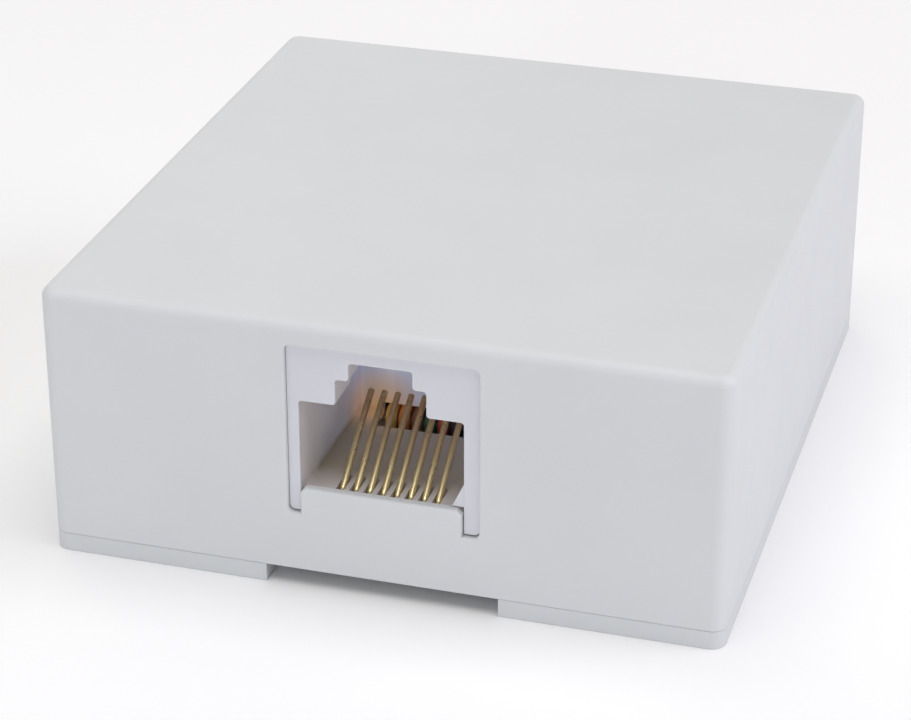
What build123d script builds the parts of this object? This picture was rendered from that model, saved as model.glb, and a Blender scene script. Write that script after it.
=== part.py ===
"""Surface-mount modular jack box: base plate, snap cover, 8-way jack and eight screw terminals.

Millimetres. +X right, +Y to the back, +Z up. The origin is the centre of the mounting face.
"""

from build123d import *
import os

# overall box
BOX_WIDTH = 50.0
BOX_DEPTH = 54.0
BOX_HEIGHT = 21.0
PLATE = 1.4
SEAM_GAP = 0.03
CORNER_RADIUS = 1.1
TOP_EDGE_RADIUS = 0.75
WALL = 1.5
CEILING = 1.8
CLEAR = 0.1
FRONT_Y = -BOX_DEPTH / 2
BACK_Y = BOX_DEPTH / 2

# the jack, its contacts and the notch below it sit a little right of the middle
JACK_X = 0.18

# notch in the plate's front edge, and the cable opening in its middle
NOTCH_WIDTH = 17.3
NOTCH_DEPTH = 5.0
ENTRY_SIZE = (12.0, 7.5)
ENTRY_RADIUS = 1.5
ENTRY_Y = 7.5

# wall screw holes, in raised bosses, on the middle line
SCREW_HOLE_SPACING = 25.0
SCREW_HOLE_RADIUS = 2.1
SCREW_SEAT_RADIUS = 4.0
SCREW_SEAT_DEPTH = 1.4
SCREW_BOSS_RADIUS = 5.2
SCREW_BOSS_TOP = 3.2

# rim that centres the cover, with snap beads at the back
RIM_WALL = 1.0
RIM_HEIGHT = 2.2
RIM_GAP_WIDTH = 26.0
BEAD_LENGTH = 6.0
BEAD_RADIUS = 0.3
BEAD_X = 14.0
BEAD_CLEAR = 0.06

# window in the cover's front wall: a slot around a tongue of wall
WINDOW_X = 0.35
WINDOW_WIDTH = 14.05
WINDOW_BOTTOM = 5.95
WINDOW_TOP = BOX_HEIGHT - CEILING
WINDOW_CORNER = 0.45
SLOT_BEVEL = 0.6
TONGUE_WIDTH = 11.9
TONGUE_TOP = 8.05
TONGUE_CHAMFER = 0.4
TONGUE_BEVEL = 0.85
WINDOW_EDGE_RADIUS = 0.2

# cover ribs and the knock-out outlined on its back wall
RIB_THICKNESS = 1.0
RIB_REACH = 0.7
RIB_BOTTOM = 4.2
RIB_SPACING = 18.0
KNOCKOUT_SIZE = (9.0, 7.0)
KNOCKOUT_GROOVE = 0.45
KNOCKOUT_DEPTH = 0.35

# jack housing
FACE_RECESS = 0.4
FACE_Y = FRONT_Y + FACE_RECESS
FLANGE_GAP = 0.03
FLANGE_WIDTH = WINDOW_WIDTH - 2 * FLANGE_GAP
FLANGE_BOTTOM = 6.1
FLANGE_TOP = WINDOW_TOP - FLANGE_GAP
FLANGE_RADIUS = 0.4
FACE_EDGE_RADIUS = 0.1
BODY_Y = FRONT_Y + WALL + CLEAR
BODY_BACK_Y = -12.0
BODY_WIDTH = 14.8
BODY_BOTTOM = 4.4
BODY_TOP = WINDOW_TOP - 2 * CLEAR
BODY_EDGE_RADIUS = 0.4
OPENING_WIDTH = 12.0
OPENING_TOP = 14.8
OPENING_CORNER = 0.25
FLOOR_TOP = 7.4
FLOOR_SKIN = 0.5
FLOOR_BACK_Y = -15.35
CAVITY_BACK_Y = -12.9
LEAD_WINDOW_TOP = 8.1
LEAD_WINDOW_WIDTH = 8.6
SHOULDER_WIDTH = 6.6
SHOULDER_TOP = 16.8
LATCH_WIDTH = 4.6
LATCH_TOP = 18.2
LATCH_STOP = 3.6
LATCH_POCKET = (7.2, 17.7)
LATCH_POCKET_DEPTH = 8.0
GUSSET = (0.85, 1.8)
TONGUE_ROOM = 0.12
GUIDE_RIB = (0.7, 2.0)
GUIDE_RIB_Y = -18.0
GUIDE_RIB_HEIGHT = 12.0

# contacts: eight round wires bent up and back from the floor's front edge
PIN_COUNT = 8
PIN_PITCH = 1.016
WIRE_RADIUS = 0.23
GROOVE_WIDTH = 0.62
GROOVE_BOTTOM = 5.8
GROOVE_FRONT_Y = BODY_Y - CLEAR
GROOVE_BACK_Y = FRONT_Y + 3.9
CARRIER_FRONT_Y = -18.9
TAIL_Z = 6.15
TAIL_BACK_Y = -15.9
BEND_Y = FRONT_Y + 2.9
BEND_RADIUS = 0.55
BEND_Z = TAIL_Z + BEND_RADIUS
ARM_LOW_ANGLE = 36.0
KNEE_Y = FRONT_Y + 6.4
KNEE_Z = 9.92
KNEE_RADIUS = 8.0
TIP_Y = FRONT_Y + 9.3
TIP_Z = 11.6

# contact carrier, the insert at the jack's back that the leads rise from
CARRIER_WIDTH = 11.6
CARRIER_FLOOR = 5.2
CARRIER_BOTTOM = CARRIER_FLOOR + CLEAR
CARRIER_TOP = FLOOR_TOP - FLOOR_SKIN - CLEAR
CARRIER_BACK_Y = BODY_BACK_Y - 0.2
CARRIER_STEP_Y = FLOOR_BACK_Y - CLEAR
TROUGH_TOP = 6.2

# cradle that holds the jack on the base
CRADLE_FRONT_Y = FRONT_Y + NOTCH_DEPTH + 0.2
CRADLE_BACK_Y = -12.6
CRADLE_WALL = 1.8
CRADLE_TOP = 14.0
CRADLE_CHAMFER = 0.5
LEDGE_WIDTH = 2.0
STOP_WALL = 1.0
STOP_TOP = 6.4

# screw terminals, four on each side
TERMINAL_X = 17.5
TERMINAL_PITCH = 7.6
TERMINAL_FIRST_Y = -8.0
TERMINALS_PER_SIDE = 4
POST_RADIUS = 3.0
POST_TOP = 7.0
POST_FOOT_RADIUS = 0.7
POST_EDGE = 0.25
INSERT_RADIUS = 2.2
INSERT_FIT = 0.05
INSERT_BOTTOM = 2.4
SHANK_RADIUS = 1.45
SHANK_BOTTOM = 3.0
THREAD_CLEAR = 0.05
STACK_GAP = 0.02

# spade lugs, clamp washers and pan-head screws
LUG_THICKNESS = 0.6
LUG_RADIUS = 2.9
LUG_SLOT_RADIUS = 1.65
LUG_NECK_WIDTH = 2.4
BARREL_RADIUS = 0.95
BARREL_BORE = 0.5
BARREL_LENGTH = 3.4
BARREL_END = 4.6
WASHER_RADIUS = 3.05
WASHER_BORE = 1.6
WASHER_THICKNESS = 0.6
HEAD_RADIUS = 2.6
HEAD_HEIGHT = 1.9
HEAD_CROWN = 0.7
RECESS_LENGTH = 3.4
RECESS_WIDTH = 0.6
RECESS_DEPTH = 1.1

# coloured leads
LEAD_RADIUS = 0.45
LEAD_Y = -13.2
LEAD_BOTTOM = 5.5
LEAD_TOP = 7.5
LEAD_RISE_BEND = 0.85
LEAD_FAN_BEND = 2.0
LEAD_HOLE_CLEAR = 0.05
LEAD_IN_BARREL = 2.6

COVER_BOTTOM = PLATE + SEAM_GAP
INNER_WIDTH = BOX_WIDTH - 2 * WALL
INNER_DEPTH = BOX_DEPTH - 2 * WALL
INNER_RADIUS = CORNER_RADIUS / 2
RIM_WIDTH = INNER_WIDTH - 3 * CLEAR
RIM_DEPTH = INNER_DEPTH - 3 * CLEAR
PIN_X = [JACK_X + PIN_PITCH * ((PIN_COUNT - 1) / 2 - pin) for pin in range(PIN_COUNT)]
LUG_TOP = POST_TOP + STACK_GAP + LUG_THICKNESS
WASHER_BOTTOM = LUG_TOP + STACK_GAP
HEAD_BOTTOM = WASHER_BOTTOM + WASHER_THICKNESS + STACK_GAP
BARREL_Z = POST_TOP + STACK_GAP + BARREL_RADIUS


def upright(y):
    """A plane facing the front at depth y, with X to the right and Z up."""
    return Plane.XZ.offset(-y)


def terminal(pin):
    """A pin's terminal: its side, and the centre of its post. Pins 1 to 4 are on the right."""
    side = 1 if pin < TERMINALS_PER_SIDE else -1
    row = pin if side > 0 else PIN_COUNT - 1 - pin
    return side, (side * TERMINAL_X, TERMINAL_FIRST_Y + row * TERMINAL_PITCH)


POSTS = [terminal(pin)[1] for pin in range(PIN_COUNT)]

# base: plate, rim, screw bosses, terminal posts and the jack's cradle
with BuildPart() as base:
    with BuildSketch():
        RectangleRounded(BOX_WIDTH, BOX_DEPTH, CORNER_RADIUS)
    extrude(amount=PLATE)
    with BuildSketch(Plane.XY.offset(PLATE)):
        RectangleRounded(RIM_WIDTH, RIM_DEPTH, INNER_RADIUS)
        Rectangle(RIM_WIDTH - 2 * RIM_WALL, RIM_DEPTH - 2 * RIM_WALL, mode=Mode.SUBTRACT)
        with Locations((0, FRONT_Y)):
            Rectangle(RIM_GAP_WIDTH, BOX_DEPTH / 2, mode=Mode.SUBTRACT)
    extrude(amount=RIM_HEIGHT)
    with Locations(Plane.XY.offset(PLATE)):
        with Locations((0, ENTRY_Y)):
            with GridLocations(0, SCREW_HOLE_SPACING, 1, 2):
                Cylinder(
                    SCREW_BOSS_RADIUS,
                    SCREW_BOSS_TOP - PLATE,
                    align=(Align.CENTER, Align.CENTER, Align.MIN),
                )
    with BuildSketch(Plane.XY.offset(PLATE)):
        with Locations(*POSTS):
            Circle(POST_RADIUS)
    extrude(amount=POST_TOP - PLATE)
    post_rings = base.edges().filter_by(GeomType.CIRCLE).group_by(SortBy.RADIUS)
    post_rings = [ring for ring in post_rings if abs(ring[0].radius - POST_RADIUS) < CLEAR][0]
    fillet(post_rings.group_by(Axis.Z)[0], radius=POST_FOOT_RADIUS)
    fillet(post_rings.group_by(Axis.Z)[-1], radius=POST_EDGE)
    # cradle walls and the ledges that the jack rests on
    with BuildSketch(Plane.XY.offset(PLATE)):
        with Locations((JACK_X, (CRADLE_FRONT_Y + CRADLE_BACK_Y) / 2)):
            Rectangle(BODY_WIDTH + 2 * (CLEAR + CRADLE_WALL), CRADLE_BACK_Y - CRADLE_FRONT_Y)
            Rectangle(BODY_WIDTH + 2 * CLEAR, BOX_DEPTH, mode=Mode.SUBTRACT)
    extrude(amount=CRADLE_TOP - PLATE)
    chamfer(base.edges().group_by(Axis.Z)[-1], length=CRADLE_CHAMFER)
    with BuildSketch(Plane.XY.offset(PLATE)):
        with Locations((JACK_X, (CRADLE_FRONT_Y + CRADLE_BACK_Y) / 2)):
            Rectangle(BODY_WIDTH + 2 * CLEAR, CRADLE_BACK_Y - CRADLE_FRONT_Y)
            Rectangle(BODY_WIDTH - 2 * LEDGE_WIDTH, BOX_DEPTH, mode=Mode.SUBTRACT)
    extrude(amount=BODY_BOTTOM - SEAM_GAP - PLATE)
    # upright grooves in the cradle for the jack's guide ribs
    with BuildSketch(Plane.XY.offset(BODY_BOTTOM - SEAM_GAP)):
        with Locations((JACK_X, GUIDE_RIB_Y)):
            Rectangle(BODY_WIDTH + 2 * (GUIDE_RIB[0] + CLEAR), GUIDE_RIB[1] + 2 * CLEAR)
    extrude(amount=BOX_HEIGHT, mode=Mode.SUBTRACT)
    # low wall behind the jack
    with BuildSketch(Plane.XY.offset(PLATE)):
        with Locations((JACK_X, BODY_BACK_Y + CLEAR + STOP_WALL / 2)):
            Rectangle(BODY_WIDTH, STOP_WALL)
    extrude(amount=STOP_TOP - PLATE)
    # wells for the brass inserts
    with BuildSketch(Plane.XY.offset(INSERT_BOTTOM)):
        with Locations(*POSTS):
            Circle(INSERT_RADIUS + INSERT_FIT)
    extrude(amount=BOX_HEIGHT, mode=Mode.SUBTRACT)
    # front notch, cable opening and screw holes
    with BuildSketch():
        with Locations((JACK_X, FRONT_Y)):
            Rectangle(NOTCH_WIDTH, 2 * NOTCH_DEPTH)
        with Locations((0, ENTRY_Y)):
            RectangleRounded(*ENTRY_SIZE, ENTRY_RADIUS)
    extrude(amount=PLATE, mode=Mode.SUBTRACT)
    with Locations(Plane.XY.offset(SCREW_BOSS_TOP)):
        with Locations((0, ENTRY_Y)):
            with GridLocations(0, SCREW_HOLE_SPACING, 1, 2):
                CounterBoreHole(SCREW_HOLE_RADIUS, SCREW_SEAT_RADIUS, SCREW_SEAT_DEPTH)
    # snap beads on the back of the rim
    with BuildSketch(Plane.YZ.offset(-BEAD_LENGTH / 2)):
        with Locations((RIM_DEPTH / 2 - 2 * BEAD_RADIUS / 3, PLATE + RIM_HEIGHT - BEAD_RADIUS)):
            Circle(BEAD_RADIUS)
    bead = extrude(amount=BEAD_LENGTH, mode=Mode.PRIVATE)
    with Locations((BEAD_X, -BEAD_CLEAR), (-BEAD_X, -BEAD_CLEAR)):
        add(bead)

# cover: one shell with the jack's window
with BuildPart() as cover:
    with BuildSketch(Plane.XY.offset(COVER_BOTTOM)):
        RectangleRounded(BOX_WIDTH, BOX_DEPTH, CORNER_RADIUS)
    extrude(amount=BOX_HEIGHT - COVER_BOTTOM)
    fillet(cover.faces().sort_by(Axis.Z)[-1].edges(), radius=TOP_EDGE_RADIUS)
    with BuildSketch(Plane.XY.offset(COVER_BOTTOM)):
        RectangleRounded(INNER_WIDTH, INNER_DEPTH, INNER_RADIUS)
    extrude(amount=BOX_HEIGHT - CEILING - COVER_BOTTOM, mode=Mode.SUBTRACT)
    with BuildSketch(upright(FRONT_Y)):
        with Locations((WINDOW_X, (WINDOW_BOTTOM + WINDOW_TOP) / 2)):
            RectangleRounded(WINDOW_WIDTH, WINDOW_TOP - WINDOW_BOTTOM, WINDOW_CORNER)
        with Locations((JACK_X, WINDOW_BOTTOM)):
            Polygon(
                (-TONGUE_WIDTH / 2, 0),
                (TONGUE_WIDTH / 2, 0),
                (TONGUE_WIDTH / 2, TONGUE_TOP - TONGUE_CHAMFER - WINDOW_BOTTOM),
                (TONGUE_WIDTH / 2 - TONGUE_CHAMFER, TONGUE_TOP - WINDOW_BOTTOM),
                (TONGUE_CHAMFER - TONGUE_WIDTH / 2, TONGUE_TOP - WINDOW_BOTTOM),
                (-TONGUE_WIDTH / 2, TONGUE_TOP - TONGUE_CHAMFER - WINDOW_BOTTOM),
                align=None,
                mode=Mode.SUBTRACT,
            )
    extrude(amount=-(WALL + CLEAR), mode=Mode.SUBTRACT)
    # bevels on the inner edges of the tongue's top and of the slots beside it
    tongue_left = JACK_X - TONGUE_WIDTH / 2
    tongue_right = JACK_X + TONGUE_WIDTH / 2
    for left, right, top, bevel in (
        (tongue_left, tongue_right, TONGUE_TOP, TONGUE_BEVEL),
        (WINDOW_X - WINDOW_WIDTH / 2, tongue_left, WINDOW_BOTTOM, SLOT_BEVEL),
        (tongue_right, WINDOW_X + WINDOW_WIDTH / 2, WINDOW_BOTTOM, SLOT_BEVEL),
    ):
        with BuildSketch(Plane.YZ.offset(left)):
            with Locations((FRONT_Y + WALL, top)):
                Polygon((0, 0), (-bevel, 0), (0, -bevel), align=None)
        extrude(amount=right - left, mode=Mode.SUBTRACT)
    front = cover.faces().sort_by(Axis.Y)[0]
    fillet(front.inner_wires()[0].edges(), radius=WINDOW_EDGE_RADIUS)
    # stiffening ribs inside the side walls
    with BuildSketch(Plane.XY.offset(RIB_BOTTOM)):
        with GridLocations(INNER_WIDTH - RIB_REACH, RIB_SPACING, 2, 2):
            Rectangle(RIB_REACH, RIB_THICKNESS)
    extrude(amount=BOX_HEIGHT - CEILING - RIB_BOTTOM)
    # knock-out outlined on the back wall
    with BuildSketch(upright(BACK_Y)):
        with Locations((0, COVER_BOTTOM)):
            Rectangle(KNOCKOUT_SIZE[0], 2 * KNOCKOUT_SIZE[1])
            Rectangle(
                KNOCKOUT_SIZE[0] - 2 * KNOCKOUT_GROOVE,
                2 * (KNOCKOUT_SIZE[1] - KNOCKOUT_GROOVE),
                mode=Mode.SUBTRACT,
            )
    extrude(amount=KNOCKOUT_DEPTH, mode=Mode.SUBTRACT)

# jack housing: flange in the window, body behind it, stepped opening for the plug
with BuildPart() as jack_housing:
    with BuildSketch(upright(BODY_Y)):
        with Locations((JACK_X, (BODY_BOTTOM + BODY_TOP) / 2)):
            RectangleRounded(BODY_WIDTH, BODY_TOP - BODY_BOTTOM, BODY_EDGE_RADIUS)
    extrude(amount=BODY_Y - BODY_BACK_Y)
    with BuildSketch(upright(FACE_Y)):
        with Locations((WINDOW_X, (FLANGE_BOTTOM + FLANGE_TOP) / 2)):
            RectangleRounded(FLANGE_WIDTH, FLANGE_TOP - FLANGE_BOTTOM, FLANGE_RADIUS)
    extrude(amount=FACE_Y - BODY_Y)
    with BuildSketch(Plane.XY.offset(BODY_BOTTOM + BODY_EDGE_RADIUS)):
        with Locations((JACK_X, GUIDE_RIB_Y)):
            Rectangle(BODY_WIDTH + 2 * GUIDE_RIB[0], GUIDE_RIB[1])
    extrude(amount=GUIDE_RIB_HEIGHT)
    # stepped plug opening as far as the latch stop, then the cavity behind it
    with BuildSketch(upright(FACE_Y)) as opening:
        with Locations((JACK_X, FLOOR_TOP)):
            Rectangle(OPENING_WIDTH, OPENING_TOP - FLOOR_TOP, align=(Align.CENTER, Align.MIN))
            Rectangle(SHOULDER_WIDTH, SHOULDER_TOP - FLOOR_TOP, align=(Align.CENTER, Align.MIN))
            Rectangle(LATCH_WIDTH, LATCH_TOP - FLOOR_TOP, align=(Align.CENTER, Align.MIN))
        fillet(opening.vertices().filter_by(lambda corner: corner.Y > FLOOR_TOP), OPENING_CORNER)
    extrude(amount=-LATCH_STOP, mode=Mode.SUBTRACT)
    with BuildSketch(upright(FACE_Y + LATCH_STOP)):
        with Locations((JACK_X, FLOOR_TOP)):
            Rectangle(OPENING_WIDTH, OPENING_TOP - FLOOR_TOP, align=(Align.CENTER, Align.MIN))
            Rectangle(SHOULDER_WIDTH, SHOULDER_TOP - FLOOR_TOP, align=(Align.CENTER, Align.MIN))
    extrude(amount=FACE_Y + LATCH_STOP - CAVITY_BACK_Y, mode=Mode.SUBTRACT)
    with BuildSketch(upright(FACE_Y + LATCH_STOP)):
        with Locations((JACK_X, OPENING_TOP)):
            Rectangle(
                LATCH_POCKET[0],
                LATCH_POCKET[1] - OPENING_TOP,
                align=(Align.CENTER, Align.MIN),
            )
    extrude(amount=-LATCH_POCKET_DEPTH, mode=Mode.SUBTRACT)
    # floor left open at the back, and a window in the back wall for the leads
    with BuildSketch(upright(FLOOR_BACK_Y)):
        with Locations((JACK_X, FLOOR_TOP - FLOOR_SKIN - CLEAR)):
            Rectangle(
                LEAD_WINDOW_WIDTH,
                LEAD_WINDOW_TOP - FLOOR_TOP + FLOOR_SKIN + CLEAR,
                align=(Align.CENTER, Align.MIN),
            )
    extrude(amount=FLOOR_BACK_Y - BODY_BACK_Y, mode=Mode.SUBTRACT)
    # room for the cover's tongue between the flange's legs
    with BuildSketch(upright(FACE_Y)):
        with Locations((JACK_X, TONGUE_TOP + TONGUE_ROOM)):
            Rectangle(
                OPENING_WIDTH,
                TONGUE_TOP,
                align=(Align.CENTER, Align.MAX),
            )
    extrude(amount=FACE_Y - BODY_Y, mode=Mode.SUBTRACT)
    rim = jack_housing.faces().sort_by(Axis.Y)[0].edges()
    rim = rim.filter_by(lambda edge: abs(edge.center().X - JACK_X) < OPENING_WIDTH / 2 + CLEAR)
    rim = rim.filter_by(lambda edge: TONGUE_TOP + CLEAR < edge.center().Z < LATCH_TOP + CLEAR)
    fillet(rim, radius=FACE_EDGE_RADIUS)
    # gusset in the opening's lower right corner
    with BuildSketch(upright(FACE_Y + FACE_EDGE_RADIUS)):
        with Locations((JACK_X + OPENING_WIDTH / 2, TONGUE_TOP + TONGUE_ROOM)):
            Polygon((0, 0), (0, GUSSET[1]), (-GUSSET[0], 0), align=None)
    extrude(amount=FACE_Y + FACE_EDGE_RADIUS - BODY_Y)
    # pocket for the carrier, under a skin of floor
    with BuildSketch(upright(CARRIER_FRONT_Y)):
        with Locations((JACK_X, CARRIER_FLOOR)):
            Rectangle(
                CARRIER_WIDTH + 2 * CLEAR,
                FLOOR_TOP - FLOOR_SKIN - CARRIER_FLOOR,
                align=(Align.CENTER, Align.MIN),
            )
    extrude(amount=CARRIER_FRONT_Y - BODY_BACK_Y, mode=Mode.SUBTRACT)
    # a groove and a tunnel for each contact wire
    with BuildSketch(Plane.XY.offset(GROOVE_BOTTOM)):
        with Locations((JACK_X, (GROOVE_FRONT_Y + GROOVE_BACK_Y) / 2)):
            with GridLocations(PIN_PITCH, 0, PIN_COUNT, 1):
                Rectangle(GROOVE_WIDTH, GROOVE_BACK_Y - GROOVE_FRONT_Y)
    extrude(amount=FLOOR_TOP - GROOVE_BOTTOM, mode=Mode.SUBTRACT)
    with BuildSketch(upright(GROOVE_BACK_Y)):
        with Locations((JACK_X, TAIL_Z)):
            with GridLocations(PIN_PITCH, 0, PIN_COUNT, 1):
                Circle(WIRE_RADIUS + THREAD_CLEAR)
    extrude(amount=GROOVE_BACK_Y - CARRIER_FRONT_Y, mode=Mode.SUBTRACT)

# contact carrier: tunnels for the contact tails, wells for the leads
with BuildPart() as contact_carrier:
    with BuildSketch(Plane.YZ.offset(JACK_X - CARRIER_WIDTH / 2)):
        with BuildLine():
            Polyline(
                (CARRIER_FRONT_Y + CLEAR, CARRIER_BOTTOM),
                (CARRIER_BACK_Y, CARRIER_BOTTOM),
                (CARRIER_BACK_Y, TROUGH_TOP),
                (CARRIER_STEP_Y, TROUGH_TOP),
                (CARRIER_STEP_Y, CARRIER_TOP),
                (CARRIER_FRONT_Y + CLEAR, CARRIER_TOP),
                close=True,
            )
        make_face()
    extrude(amount=CARRIER_WIDTH)
    with BuildSketch(upright(CARRIER_FRONT_Y)):
        with Locations((JACK_X, TAIL_Z)):
            with GridLocations(PIN_PITCH, 0, PIN_COUNT, 1):
                Circle(WIRE_RADIUS + THREAD_CLEAR)
    extrude(amount=CARRIER_FRONT_Y - TAIL_BACK_Y, mode=Mode.SUBTRACT)
    with BuildSketch(Plane.XY.offset(LEAD_BOTTOM)):
        with Locations((JACK_X, LEAD_Y)):
            with GridLocations(PIN_PITCH, 0, PIN_COUNT, 1):
                Circle(LEAD_RADIUS + LEAD_HOLE_CLEAR)
    extrude(amount=TROUGH_TOP - LEAD_BOTTOM, mode=Mode.SUBTRACT)

# contact tails: the fixed lower runs of the wires, up to the front of the bend
with BuildPart() as contact_tails:
    for x in PIN_X:
        with BuildLine(Plane.YZ.offset(x)) as tail_path:
            Line((TAIL_BACK_Y - CLEAR, TAIL_Z), (BEND_Y, TAIL_Z))
            CenterArc((BEND_Y, BEND_Z), BEND_RADIUS, -90, -90)
        with BuildSketch(Plane(tail_path.line @ 0, z_dir=tail_path.line % 0)):
            Circle(WIRE_RADIUS)
        sweep(path=tail_path.line)

# contact springs: the moving arms, from the front of the bend to the tip
contact_springs = []
for pin, x in enumerate(PIN_X):
    with BuildPart() as contact_spring:
        with BuildLine(Plane.YZ.offset(x)) as arm_path:
            bend = CenterArc((BEND_Y, BEND_Z), BEND_RADIUS, 180, ARM_LOW_ANGLE - 90)
            FilletPolyline(bend @ 1, (KNEE_Y, KNEE_Z), (TIP_Y, TIP_Z), radius=KNEE_RADIUS)
        with BuildSketch(Plane(arm_path.line @ 0, z_dir=arm_path.line % 0)):
            Circle(WIRE_RADIUS)
        sweep(path=arm_path.line, transition=Transition.ROUND)
    contact_spring.part.label = f"contact_spring_{pin + 1}"
    contact_springs.append(contact_spring.part)

# leads: up out of the carrier, back, then out to their own terminals
leads = []
for pin, x in enumerate(PIN_X):
    side, post = terminal(pin)
    barrel_x = side * (TERMINAL_X - BARREL_END - BARREL_LENGTH)
    with BuildPart() as lead:
        with BuildLine() as lead_path:
            FilletPolyline(
                (x, LEAD_Y, LEAD_BOTTOM),
                (x, LEAD_Y, LEAD_TOP),
                (x, LEAD_Y + 2 * LEAD_RISE_BEND, LEAD_TOP),
                radius=LEAD_RISE_BEND,
            )
            Line((x, LEAD_Y + 2 * LEAD_RISE_BEND, LEAD_TOP), (x, post[1] - LEAD_FAN_BEND, LEAD_TOP))
            Spline(
                (x, post[1] - LEAD_FAN_BEND, LEAD_TOP),
                (barrel_x, post[1], BARREL_Z),
                tangents=((0, 1, 0), (side, 0, 0)),
            )
            Line(
                (barrel_x, post[1], BARREL_Z),
                (barrel_x + side * LEAD_IN_BARREL, post[1], BARREL_Z),
            )
        with BuildSketch(Plane(lead_path.line @ 0, z_dir=lead_path.line % 0)):
            Circle(LEAD_RADIUS)
        sweep(path=lead_path.line)
    lead.part.label = f"lead_{pin + 1}"
    leads.append(lead.part)

# terminal hardware, one stack for each pin
spade_lugs = []
clamp_washers = []
terminal_screws = []
for pin in range(PIN_COUNT):
    side, post = terminal(pin)
    with BuildPart() as spade_lug:
        with BuildSketch(Plane.XY.offset(POST_TOP + STACK_GAP)):
            with Locations(post):
                Circle(LUG_RADIUS)
                with Locations((side * LUG_RADIUS, 0)):
                    Rectangle(2 * LUG_RADIUS, 2 * LUG_SLOT_RADIUS, mode=Mode.SUBTRACT)
                Circle(LUG_SLOT_RADIUS, mode=Mode.SUBTRACT)
                with Locations((-side * (LUG_SLOT_RADIUS + BARREL_END) / 2, 0)):
                    Rectangle(BARREL_END - LUG_SLOT_RADIUS - CLEAR, LUG_NECK_WIDTH)
        extrude(amount=LUG_THICKNESS)
        with BuildSketch(Plane.YZ.offset(post[0] - side * (BARREL_END - CLEAR))):
            with Locations((post[1], BARREL_Z)):
                Circle(BARREL_RADIUS)
        extrude(amount=-side * BARREL_LENGTH)
        with BuildSketch(Plane.YZ.offset(post[0] - side * BARREL_END)):
            with Locations((post[1], BARREL_Z)):
                Circle(BARREL_BORE)
        extrude(amount=-side * BARREL_LENGTH, mode=Mode.SUBTRACT)
    spade_lug.part.label = f"spade_lug_{pin + 1}"
    spade_lugs.append(spade_lug.part)

    with BuildPart() as clamp_washer:
        with BuildSketch(Plane.XY.offset(WASHER_BOTTOM)):
            with Locations(post):
                Circle(WASHER_RADIUS)
                Circle(WASHER_BORE, mode=Mode.SUBTRACT)
        extrude(amount=WASHER_THICKNESS)
    clamp_washer.part.label = f"clamp_washer_{pin + 1}"
    clamp_washers.append(clamp_washer.part)

    with BuildPart() as terminal_screw:
        with BuildSketch(Plane.XY.offset(SHANK_BOTTOM)):
            with Locations(post):
                Circle(SHANK_RADIUS)
        extrude(amount=HEAD_BOTTOM - SHANK_BOTTOM)
        with BuildSketch(Plane.XY.offset(HEAD_BOTTOM)):
            with Locations(post):
                Circle(HEAD_RADIUS)
        extrude(amount=HEAD_HEIGHT)
        fillet(terminal_screw.faces().sort_by(Axis.Z)[-1].edges(), radius=HEAD_CROWN)
        with BuildSketch(Plane.XY.offset(HEAD_BOTTOM + HEAD_HEIGHT)):
            with Locations(post):
                Rectangle(RECESS_LENGTH, RECESS_WIDTH)
                Rectangle(RECESS_WIDTH, RECESS_LENGTH)
        extrude(amount=-RECESS_DEPTH, mode=Mode.SUBTRACT)
    terminal_screw.part.label = f"terminal_screw_{pin + 1}"
    terminal_screws.append(terminal_screw.part)

# brass inserts in the posts
with BuildPart() as terminal_inserts:
    with BuildSketch(Plane.XY.offset(INSERT_BOTTOM + STACK_GAP)):
        with Locations(*POSTS):
            Circle(INSERT_RADIUS)
            Circle(SHANK_RADIUS + THREAD_CLEAR, mode=Mode.SUBTRACT)
    extrude(amount=POST_TOP - INSERT_BOTTOM - 2 * STACK_GAP)

base.part.label = "base"
cover.part.label = "cover"
jack_housing.part.label = "jack_housing"
contact_carrier.part.label = "contact_carrier"
contact_tails.part.label = "contact_tails"
terminal_inserts.part.label = "terminal_inserts"

os.makedirs("parts", exist_ok=True)
export_step(base.part, "parts/base.step")
export_step(cover.part, "parts/cover.step")
export_step(jack_housing.part, "parts/jack_housing.step")
export_step(contact_carrier.part, "parts/contact_carrier.step")
export_step(contact_tails.part, "parts/contact_tails.step")
export_step(terminal_inserts.part, "parts/terminal_inserts.step")
for piece in contact_springs + leads + spade_lugs + clamp_washers + terminal_screws:
    export_step(piece, f"parts/{piece.label}.step")
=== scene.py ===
"""Looks for the surface-mount modular jack box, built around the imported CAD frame."""

import math

import bpy
from mathutils import Matrix, Vector


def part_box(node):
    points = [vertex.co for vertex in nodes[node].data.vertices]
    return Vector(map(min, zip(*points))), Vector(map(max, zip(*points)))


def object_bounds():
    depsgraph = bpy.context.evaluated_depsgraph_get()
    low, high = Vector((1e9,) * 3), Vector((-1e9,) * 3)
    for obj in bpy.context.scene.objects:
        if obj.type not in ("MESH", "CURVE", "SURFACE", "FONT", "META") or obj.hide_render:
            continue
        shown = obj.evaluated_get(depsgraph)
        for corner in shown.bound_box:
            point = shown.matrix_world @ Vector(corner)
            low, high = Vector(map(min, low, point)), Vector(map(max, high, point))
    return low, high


MM = 0.001
PINS = range(1, 9)
WHITE = (1.0, 1.0, 1.0)

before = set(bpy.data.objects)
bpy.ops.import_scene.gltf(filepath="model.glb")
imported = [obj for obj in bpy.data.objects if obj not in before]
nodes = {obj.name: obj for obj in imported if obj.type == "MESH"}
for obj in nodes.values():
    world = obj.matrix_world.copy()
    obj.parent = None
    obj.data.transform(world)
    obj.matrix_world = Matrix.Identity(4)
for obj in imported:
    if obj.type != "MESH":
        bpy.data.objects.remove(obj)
cad_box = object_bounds()


# ---------------------------------------------------------------- node helpers


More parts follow.
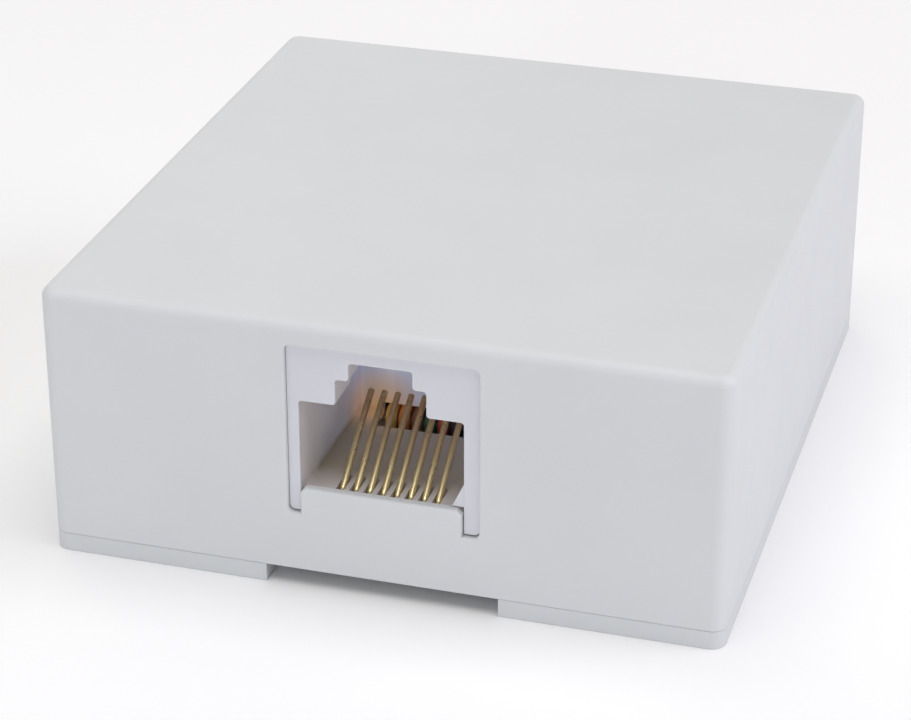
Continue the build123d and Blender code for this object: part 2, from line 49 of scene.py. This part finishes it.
def new_material(name):
    """A material with an empty node tree but for its output and a Principled shader."""
    material = bpy.data.materials.new(name)
    material.use_nodes = True
    tree = material.node_tree
    tree.nodes.clear()
    output = tree.nodes.new("ShaderNodeOutputMaterial")
    shader = tree.nodes.new("ShaderNodeBsdfPrincipled")
    tree.links.new(shader.outputs["BSDF"], output.inputs["Surface"])
    return material, tree, shader


def coordinates(tree, kind="Object"):
    """A texture coordinate socket."""
    return tree.nodes.new("ShaderNodeTexCoord").outputs[kind]


def noise(tree, vector, size, detail, roughness=0.5):
    """Noise with features of about the given size in metres. Returns its factor socket."""
    node = tree.nodes.new("ShaderNodeTexNoise")
    node.inputs["Scale"].default_value = 1.0 / size
    node.inputs["Detail"].default_value = detail
    node.inputs["Roughness"].default_value = roughness
    tree.links.new(vector, node.inputs["Vector"])
    return node.outputs["Fac"]


def remap(tree, value, low, high, to_low, to_high):
    """A clamped linear map of a value."""
    node = tree.nodes.new("ShaderNodeMapRange")
    tree.links.new(value, node.inputs["Value"])
    for key, number in zip(("From Min", "From Max", "To Min", "To Max"), (low, high, to_low, to_high)):
        node.inputs[key].default_value = number
    return node.outputs["Result"]


def mix(tree, factor, first, second, blend="MIX"):
    """A colour mix. The factor and both colours may be sockets or plain values."""
    node = tree.nodes.new("ShaderNodeMix")
    node.data_type = "RGBA"
    node.blend_type = blend
    for key, value in (("Factor", factor), ("A", first), ("B", second)):
        socket = [s for s in node.inputs if s.name == key and s.enabled][0]
        if isinstance(value, bpy.types.NodeSocket):
            tree.links.new(value, socket)
        elif isinstance(value, tuple):
            socket.default_value = (*value, 1.0)
        else:
            socket.default_value = value
    return [s for s in node.outputs if s.enabled][0]


def maths(tree, operation, first, second=0.0):
    """A maths node on sockets or numbers."""
    node = tree.nodes.new("ShaderNodeMath")
    node.operation = operation
    for socket, value in zip(node.inputs, (first, second)):
        if isinstance(value, bpy.types.NodeSocket):
            tree.links.new(value, socket)
        else:
            socket.default_value = value
    return node.outputs[0]


def product(tree, *values):
    """The product of sockets and numbers."""
    result = values[0]
    for value in values[1:]:
        result = maths(tree, "MULTIPLY", result, value)
    return result


def bump(tree, shader, height, distance, strength):
    """Fine relief of the given depth in metres on a shader."""
    node = tree.nodes.new("ShaderNodeBump")
    node.inputs["Strength"].default_value = strength
    node.inputs["Distance"].default_value = distance
    tree.links.new(height, node.inputs["Height"])
    tree.links.new(node.outputs["Normal"], shader.inputs["Normal"])


def shade(colour, amount):
    """A colour scaled towards black or white."""
    return tuple(min(1.0, c * amount) for c in colour)


# ---------------------------------------------------------------- materials


def moulded_plastic(name, colour, roughness=0.48, glow=0.12):
    """Injection-moulded plastic: faint flow shading, a fine spark-eroded grain and some depth."""
    material, tree, shader = new_material(name)
    place = coordinates(tree)
    flow = noise(tree, place, 9 * MM, detail=3)
    base = mix(tree, remap(tree, flow, 0.3, 0.7, 0, 1), shade(colour, 0.985), shade(colour, 1.012))
    speck = noise(tree, place, 0.35 * MM, detail=4)
    base = mix(tree, remap(tree, speck, 0.35, 0.75, 0, 0.05), base, shade(colour, 0.93))
    tree.links.new(base, shader.inputs["Base Color"])
    patches = noise(tree, place, 4 * MM, detail=3)
    rough = remap(tree, patches, 0.3, 0.7, roughness - 0.04, roughness + 0.05)
    tree.links.new(rough, shader.inputs["Roughness"])
    shader.inputs["IOR"].default_value = 1.45
    shader.inputs["Specular IOR Level"].default_value = 0.35
    shader.inputs["Subsurface Weight"].default_value = glow
    shader.inputs["Subsurface Radius"].default_value = (1.0, 0.85, 0.75)
    shader.inputs["Subsurface Scale"].default_value = 0.6 * MM
    fine = noise(tree, place, 0.09 * MM, detail=3, roughness=0.6)
    bump(tree, shader, fine, 0.004 * MM, 0.35)
    return material


def insulation(name, colour):
    """PVC wire insulation: satin, with faint blotches, handling dust and an uneven surface."""
    material, tree, shader = new_material(name)
    place = coordinates(tree)
    blotch = noise(tree, place, 1.5 * MM, detail=3)
    base = mix(tree, remap(tree, blotch, 0.3, 0.7, 0, 1), shade(colour, 0.88), shade(colour, 1.1))
    dust = noise(tree, place, 0.12 * MM, detail=4)
    base = mix(tree, remap(tree, dust, 0.62, 0.8, 0, 0.12), base, (0.6, 0.58, 0.55))
    tree.links.new(base, shader.inputs["Base Color"])
    rough = remap(tree, blotch, 0.3, 0.7, 0.34, 0.46)
    tree.links.new(rough, shader.inputs["Roughness"])
    shader.inputs["Coat Weight"].default_value = 0.15
    shader.inputs["Coat Roughness"].default_value = 0.2
    bump(tree, shader, noise(tree, place, 0.15 * MM, detail=3), 0.01 * MM, 0.4)
    return material


def plated_metal(name, colour, roughness, stain):
    """Plated metal: slightly uneven tone, a fine grain and dull spots."""
    material, tree, shader = new_material(name)
    place = coordinates(tree)
    cloud = noise(tree, place, 0.9 * MM, detail=4)
    base = mix(tree, remap(tree, cloud, 0.35, 0.7, 0, 0.7), colour, stain)
    tree.links.new(base, shader.inputs["Base Color"])
    shader.inputs["Metallic"].default_value = 1.0
    rough = remap(tree, cloud, 0.3, 0.75, roughness - 0.06, roughness + 0.12)
    tree.links.new(rough, shader.inputs["Roughness"])
    bump(tree, shader, noise(tree, place, 0.06 * MM, detail=3), 0.004 * MM, 0.5)
    return material


# Turning rings over a node's width, in radians of a sine wave
RING_PITCH = 260.0


def turned_metal(name, colour, roughness, stain):
    """Turned and plated fasteners: rings about each node's middle, and painted shade darkening the
    hollows.
    """
    material, tree, shader = new_material(name)
    centred = tree.nodes.new("ShaderNodeVectorMath")
    centred.operation = "SUBTRACT"
    centred.inputs[1].default_value = (0.5, 0.5, 0.5)
    tree.links.new(coordinates(tree, "Generated"), centred.inputs[0])
    split = tree.nodes.new("ShaderNodeSeparateXYZ")
    tree.links.new(centred.outputs[0], split.inputs[0])
    across = maths(tree, "POWER", split.outputs[0], 2.0)
    along = maths(tree, "POWER", split.outputs[1], 2.0)
    radius = maths(tree, "SQRT", maths(tree, "ADD", across, along))
    rings = maths(tree, "SINE", maths(tree, "MULTIPLY", radius, RING_PITCH))
    cloud = noise(tree, coordinates(tree), 0.7 * MM, detail=4)
    base = mix(tree, remap(tree, cloud, 0.4, 0.75, 0, 0.6), colour, stain)
    # Painted shade: ambient occlusion darkens the colour in the hollows towards a dark stain.
    painted_hollow_shade = tree.nodes.new("ShaderNodeAmbientOcclusion")
    painted_hollow_shade.inputs["Distance"].default_value = 0.5 * MM
    painted_hollow_shade.samples = 4
    base = mix(tree, remap(tree, painted_hollow_shade.outputs["AO"], 0.35, 0.9, 0.65, 0), base, shade(stain, 0.35))
    tree.links.new(base, shader.inputs["Base Color"])
    shader.inputs["Metallic"].default_value = 1.0
    rough = remap(tree, cloud, 0.3, 0.75, roughness - 0.05, roughness + 0.12)
    tree.links.new(rough, shader.inputs["Roughness"])
    fine = noise(tree, coordinates(tree), 0.08 * MM, detail=3)
    relief = maths(tree, "ADD", maths(tree, "MULTIPLY", rings, 0.25), fine)
    bump(tree, shader, relief, 0.006 * MM, 0.5)
    return material


# Contact gold where it leaves the floor, and the darker brown gold that paints shade towards its tip
BRIGHT_GOLD = (0.95, 0.83, 0.48)
SHADED_GOLD = (0.57, 0.37, 0.19)


def contact_gold(name):
    """Drawn and plated contact wire: bright where it leaves the floor, with painted shade making it
    browner towards its tip.
    """
    material, tree, shader = new_material(name)
    place = coordinates(tree)
    split = tree.nodes.new("ShaderNodeSeparateXYZ")
    tree.links.new(place, split.inputs[0])
    # Painted shade: the gold darkens to brown from the floor towards the tip.
    low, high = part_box("contact_spring_1")
    along = remap(tree, split.outputs["Y"], low.y + 1.5 * MM, high.y - 1.0 * MM, 0, 1)
    base = mix(tree, along, BRIGHT_GOLD, SHADED_GOLD)
    cloud = noise(tree, place, 0.8 * MM, detail=3)
    base = mix(tree, remap(tree, cloud, 0.4, 0.75, 0, 0.25), base, (0.62, 0.45, 0.20))
    tree.links.new(base, shader.inputs["Base Color"])
    shader.inputs["Metallic"].default_value = 1.0
    rough = remap(tree, cloud, 0.3, 0.75, 0.26, 0.34)
    tree.links.new(rough, shader.inputs["Roughness"])
    stretch = tree.nodes.new("ShaderNodeMapping")
    stretch.inputs["Scale"].default_value = (1.0, 0.08, 0.08)
    tree.links.new(place, stretch.inputs["Vector"])
    lines = noise(tree, stretch.outputs["Vector"], 0.03 * MM, detail=2)
    bump(tree, shader, lines, 0.002 * MM, 0.3)
    return material


# Painted light and shade multiplied into the cavity walls' colour: painted light just inside the
# opening and at its back, painted shade low down, and a painted reflection beside the bright leads
FRONT_PAINTED_LIGHT = (1.14, 1.06, 0.99)
REAR_PAINTED_LIGHT = (1.38, 1.38, 1.42)
FLOOR_PAINTED_SHADE = (0.80, 0.68, 0.49)
PAINTED_LEAD_REFLECTION = (1.42, 0.96, 0.50)
# Painted glow, an emission standing in for light soaking through the thin rear wall from the box's
# inside: its colour plain and past the bright leads, and its strength
PAINTED_GLOW_PLAIN = (0.24, 0.34, 0.72)
PAINTED_GLOW_BY_LEADS = (0.95, 0.50, 0.10)
PAINTED_GLOW_STRENGTH = 0.1
# The painted glow's middle: its x and z, and how far it lies before the housing's back
GLOW_X = -4.0 * MM
GLOW_Z = 7.9 * MM
GLOW_BEFORE_BACK = 1.5 * MM


def cavity_mask(tree, split, low, high):
    """One on the walls of the jack's cavity, zero outside. The carrier is nearly the cavity's width."""
    carrier_low, carrier_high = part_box("contact_carrier")
    half = (carrier_high.x - carrier_low.x) / 2
    middle = (carrier_high.x + carrier_low.x) / 2
    sideways = maths(tree, "ABSOLUTE", maths(tree, "SUBTRACT", split.outputs["X"], middle))
    between_sides = remap(tree, sideways, half + 0.3 * MM, half + 0.6 * MM, 1, 0)
    below_top = remap(tree, split.outputs["Z"], high.z - 0.8 * MM, high.z - 0.5 * MM, 1, 0)
    before_back = remap(tree, split.outputs["Y"], high.y - 0.5 * MM, high.y - 0.3 * MM, 1, 0)
    behind_face = remap(tree, split.outputs["Y"], low.y + 0.2 * MM, low.y + 0.6 * MM, 0, 1)
    return product(tree, between_sides, below_top, before_back, behind_face)


def jack_plastic(name, colour):
    """The jack's housing: as pale as the cover outside, with painted shade and light making it warmer
    and darker down its cavity, and a painted glow at its back.
    """
    material = moulded_plastic(name, colour, roughness=0.36, glow=0.2)
    tree = material.node_tree
    shader = [n for n in tree.nodes if n.type == "BSDF_PRINCIPLED"][0]
    base = shader.inputs["Base Color"].links[0].from_socket
    split = tree.nodes.new("ShaderNodeSeparateXYZ")
    tree.links.new(coordinates(tree), split.inputs[0])
    low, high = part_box("jack_housing")
    inside = cavity_mask(tree, split, low, high)

    # Painted light brightens the cavity walls towards the back; painted shade browns and darkens them
    # near the floor.
    depth = remap(tree, split.outputs["Y"], low.y + 0.2 * MM, low.y + 9 * MM, 0, 1)
    painted_light_and_shade = mix(tree, depth, FRONT_PAINTED_LIGHT, REAR_PAINTED_LIGHT)
    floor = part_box("contact_carrier")[1].z
    near_floor = remap(tree, split.outputs["Z"], floor + 0.6 * MM, floor + 1.2 * MM, 1, 0)
    along_floor = remap(tree, split.outputs["Y"], low.y + 0.5 * MM, low.y + 4.5 * MM, 0, 1)
    painted_light_and_shade = mix(tree, product(tree, near_floor, along_floor), painted_light_and_shade, FLOOR_PAINTED_SHADE)
    cavity_painted_light = mix(tree, inside, WHITE, painted_light_and_shade)

    # Painted reflection: the walls near the bright leads are warmed and lightened in colour.
    glow_at = tree.nodes.new("ShaderNodeVectorMath")
    glow_at.operation = "DISTANCE"
    glow_at.inputs[1].default_value = (GLOW_X, high.y - GLOW_BEFORE_BACK, GLOW_Z)
    tree.links.new(coordinates(tree), glow_at.inputs[0])
    nearness = remap(tree, glow_at.outputs["Value"], 0.8 * MM, 3.5 * MM, 0.9, 0)
    glow = product(tree, nearness, inside)
    cavity_painted_light = mix(tree, glow, cavity_painted_light, PAINTED_LEAD_REFLECTION)
    tree.links.new(mix(tree, 1.0, base, cavity_painted_light, blend="MULTIPLY"), shader.inputs["Base Color"])

    # Painted glow: an emission on the cavity's rear stands in for light through the rear wall.
    rear = remap(tree, split.outputs["Y"], high.y - 3.5 * MM, high.y - 2.2 * MM, 0, 1)
    painted_glow_amount = product(tree, rear, inside, PAINTED_GLOW_STRENGTH)
    tree.links.new(mix(tree, glow, PAINTED_GLOW_PLAIN, PAINTED_GLOW_BY_LEADS), shader.inputs["Emission Color"])
    tree.links.new(painted_glow_amount, shader.inputs["Emission Strength"])
    return material


# Insulation colours, by pin
LEAD_COLOURS = {
    1: (0.03, 0.08, 0.36),
    2: (0.30, 0.32, 0.35),
    3: (0.025, 0.025, 0.028),
    4: (0.52, 0.08, 0.04),
    5: (0.05, 0.18, 0.10),
    6: (0.24, 0.10, 0.05),
    7: (0.78, 0.27, 0.06),
    8: (0.78, 0.50, 0.11),
}


def dress(names, material):
    """Gives CAD nodes a material."""
    for name in names:
        slots = nodes[name].data.materials
        slots.clear()
        slots.append(material)


cover_white = moulded_plastic("cover_plastic", (0.66, 0.675, 0.68))
base_white = moulded_plastic("base_plastic", (0.64, 0.655, 0.66))
jack_white = jack_plastic("jack_plastic", (0.665, 0.67, 0.70))
# Painted shade: the carrier's white plastic gets a darker grey-brown colour for its place down in the
# cavity.
carrier_shaded_white = moulded_plastic("carrier_plastic", (0.55, 0.53, 0.48), glow=0.25)
gold = contact_gold("contact_gold")
tin = plated_metal("lug_tin", (0.74, 0.73, 0.70), 0.33, (0.55, 0.54, 0.50))
nickel = turned_metal("screw_nickel", (0.70, 0.68, 0.63), 0.26, (0.52, 0.50, 0.45))
washer_steel = turned_metal("washer_nickel", (0.66, 0.65, 0.61), 0.30, (0.48, 0.46, 0.42))
brass = turned_metal("insert_brass", (0.78, 0.57, 0.25), 0.28, (0.55, 0.38, 0.16))

dress(["cover"], cover_white)
dress(["base"], base_white)
dress(["jack_housing"], jack_white)
dress(["contact_carrier"], carrier_shaded_white)
dress(["contact_tails"] + [f"contact_spring_{pin}" for pin in PINS], gold)
dress([f"spade_lug_{pin}" for pin in PINS], tin)
dress([f"terminal_screw_{pin}" for pin in PINS], nickel)
dress([f"clamp_washer_{pin}" for pin in PINS], washer_steel)
dress(["terminal_inserts"], brass)
for pin in PINS:
    dress([f"lead_{pin}"], insulation(f"lead_pvc_{pin}", LEAD_COLOURS[pin]))


# ---------------------------------------------------------------- stage


def view_axes(azimuth, elevation):
    """Right, up and back vectors of a camera. Azimuth 0 looks along +Y; angles in degrees."""
    az, el = math.radians(azimuth), math.radians(elevation)
    right = Vector((math.cos(az), math.sin(az), 0))
    back = Vector((math.sin(az) * math.cos(el), -math.cos(az) * math.cos(el), math.sin(el)))
    return right, back.cross(right), back


# The camera's direction, its lens and its offset from the object's middle (right, up, back)
CAMERA_AZIMUTH = 16.42
CAMERA_ELEVATION = 26.81
CAMERA_LENS = 112.39
CAMERA_OFFSET = Vector((-2.15, -4.08, 221.34)) * MM


def add_camera():
    """The camera, above and to the right of the jack's face."""
    low, high = cad_box
    middle = (Vector(low) + Vector(high)) / 2
    facing = Matrix(view_axes(CAMERA_AZIMUTH, CAMERA_ELEVATION)).transposed()
    data = bpy.data.cameras.new("camera")
    data.lens = CAMERA_LENS
    data.sensor_width = 36.0
    data.clip_start = 0.01
    camera = bpy.data.objects.new("camera", data)
    bpy.context.scene.collection.objects.link(camera)
    camera.matrix_world = facing.to_4x4()
    camera.matrix_world.translation = middle + facing @ CAMERA_OFFSET
    bpy.context.scene.camera = camera


def add_floor():
    """A plain pale floor."""
    reach = 3.0
    mesh = bpy.data.meshes.new("floor")
    corners = [(-reach, -reach, 0), (reach, -reach, 0), (reach, reach, 0), (-reach, reach, 0)]
    mesh.from_pydata(corners, [], [(0, 1, 2, 3)])
    floor = bpy.data.objects.new("floor", mesh)
    bpy.context.scene.collection.objects.link(floor)
    floor.location.z = cad_box[0][2] - 0.02 * MM
    material, tree, shader = new_material("floor_white")
    tone = noise(tree, coordinates(tree), 60 * MM, detail=2)
    base = mix(tree, tone, (0.93, 0.93, 0.93), (0.95, 0.95, 0.95))
    tree.links.new(base, shader.inputs["Base Color"])
    shader.inputs["Roughness"].default_value = 0.9
    mesh.materials.append(material)


def add_area_light(name, azimuth, elevation, distance, size, power, colour):
    """A soft square light that faces the object."""
    facing = Matrix(view_axes(azimuth, elevation)).transposed()
    data = bpy.data.lights.new(name, "AREA")
    data.shape = "SQUARE"
    data.size = size
    data.energy = power
    data.color = colour
    light = bpy.data.objects.new(name, data)
    bpy.context.scene.collection.objects.link(light)
    light.matrix_world = facing.to_4x4()
    light.matrix_world.translation = facing @ Vector((0, 0, distance))


def add_world(strength):
    """Even studio fill."""
    world = bpy.data.worlds.new("studio")
    world.use_nodes = True
    background = world.node_tree.nodes["Background"]
    background.inputs["Color"].default_value = (1.0, 1.0, 1.0, 1.0)
    background.inputs["Strength"].default_value = strength
    bpy.context.scene.world = world


WORLD_STRENGTH = 0.31
# Name, azimuth, elevation, distance and size in metres, power in watts, colour
LIGHTS = (
    ("overhead", 0, 85, 0.9, 0.9, 5.3, (1.03, 1.0, 0.98)),
    ("right", 95, 25, 0.9, 0.6, 2.95, (0.98, 0.96, 1.1)),
    ("front", 15, 23, 0.6, 0.06, 0.18, (0.9, 1.0, 1.0)),
    ("low", -8, 12, 0.6, 0.1, 0.46, (0.97, 1.0, 1.17)),
    ("back", 215, 20, 0.9, 0.6, 0.85, WHITE),
)

bpy.context.scene.view_settings.view_transform = "Standard"
add_floor()
add_world(WORLD_STRENGTH)
for light in LIGHTS:
    add_area_light(*light)
add_camera()
